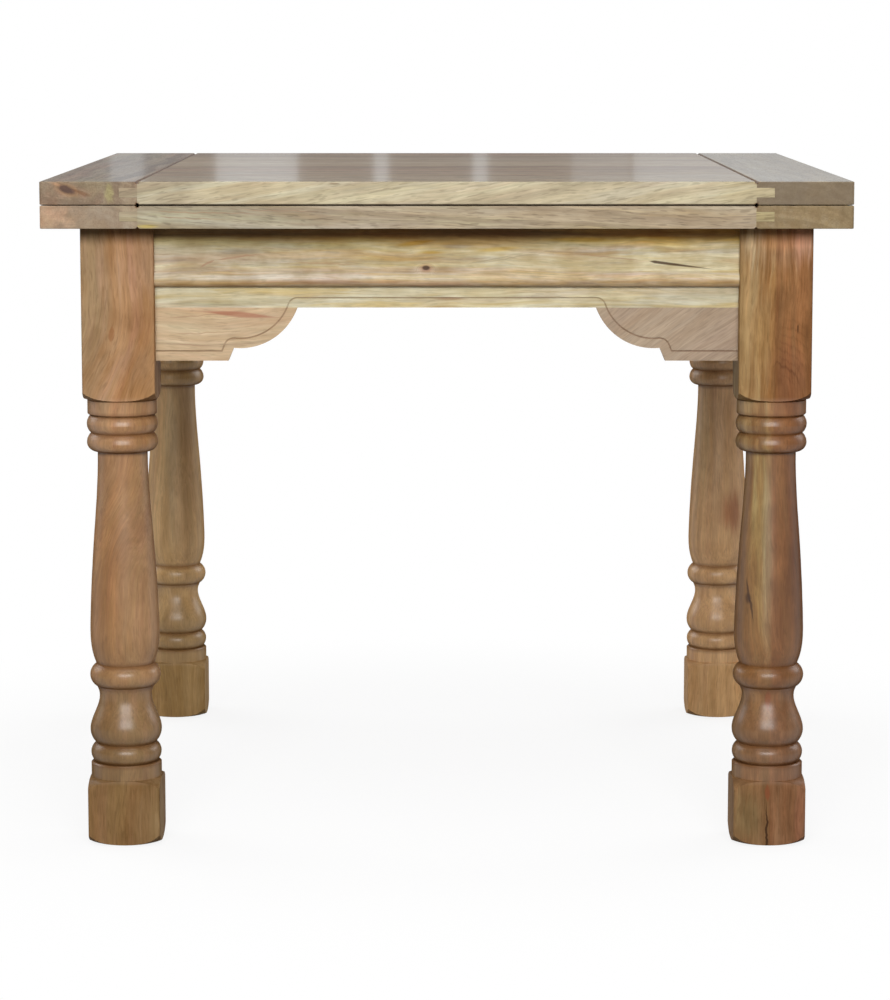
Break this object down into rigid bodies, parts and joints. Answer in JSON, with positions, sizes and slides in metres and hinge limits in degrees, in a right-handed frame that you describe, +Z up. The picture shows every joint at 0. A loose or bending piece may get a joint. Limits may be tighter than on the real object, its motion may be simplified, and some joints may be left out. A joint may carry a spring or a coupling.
{
  "type": "fold-over extending dining table",
  "caption": "Square fold-over dining table with turned legs, moulded aprons and stacked breadboard leaves; the top slides along the frame and the upper leaf folds out to double its length.",
  "frame": {"origin": "on the floor, midway between the four feet", "axes": "+Z up from the floor, +X along the top's slide towards the hinge end, +Y from front to back"},
  "size_m": [0.9037, 0.9, 0.76],
  "materials": {
    "frame_wood": "satin lacquered mango wood",
    "top_wood": "satin lacquered mango wood",
    "inner_wood": "planed bare wood",
    "plated_steel": "zinc plated",
    "hinge_brass": "satin brass",
    "glide_felt": "pressed felt"
  },
  "bodies": {
    "frame": {"leg_front_left": "frame_wood", "leg_front_right": "frame_wood", "leg_back_right": "frame_wood", "leg_back_left": "frame_wood", "apron_front": "frame_wood", "apron_right": "frame_wood", "apron_back": "frame_wood", "apron_left": "frame_wood", "lower_rail_front": "frame_wood", "lower_rail_right": "frame_wood", "lower_rail_back": "frame_wood", "lower_rail_left": "frame_wood", "bracket_front_left": "frame_wood", "bracket_front_right": "frame_wood", "bracket_right_front": "frame_wood", "bracket_right_back": "frame_wood", "bracket_back_right": "frame_wood", "bracket_back_left": "frame_wood", "bracket_left_back": "frame_wood", "bracket_left_front": "frame_wood", "corner_block_front_left": "inner_wood", "corner_block_front_right": "inner_wood", "corner_block_back_right": "inner_wood", "corner_block_back_left": "inner_wood", "guide_rail_front": "inner_wood", "guide_rail_back": "inner_wood", "hanger_bolts": "plated_steel", "washers": "plated_steel", "wing_nuts": "plated_steel", "corner_block_screws": "plated_steel", "runner_stops": "inner_wood", "glide_strips": "glide_felt"},
    "lower_leaf": {"lower_board_1": "top_wood", "lower_board_2": "top_wood", "lower_board_3": "top_wood", "lower_board_4": "top_wood", "lower_board_5": "top_wood", "lower_board_6": "top_wood", "lower_end_left": "top_wood", "lower_end_right": "top_wood", "runner_front": "inner_wood", "runner_back": "inner_wood", "runner_screws": "plated_steel", "hinge_plates_lower": "hinge_brass", "hinge_screws_lower": "hinge_brass", "hinge_pins": "hinge_brass"},
    "upper_leaf": {"upper_board_1": "top_wood", "upper_board_2": "top_wood", "upper_board_3": "top_wood", "upper_board_4": "top_wood", "upper_board_5": "top_wood", "upper_board_6": "top_wood", "upper_end_left": "top_wood", "upper_end_right": "top_wood", "hinge_plates_upper": "hinge_brass", "hinge_screws_upper": "hinge_brass"}
  },
  "joints": [
    {"name": "top_slide", "type": "slide", "parent": "frame", "child": "lower_leaf", "axis": [-1, 0, 0], "range_m": [0, 0.45]},
    {"name": "leaf_fold", "type": "hinge", "parent": "lower_leaf", "child": "upper_leaf", "pos_m": [0.45075, 0, 0.734], "axis": [0, 1, 0], "range_deg": [0, 180]}
  ]
}
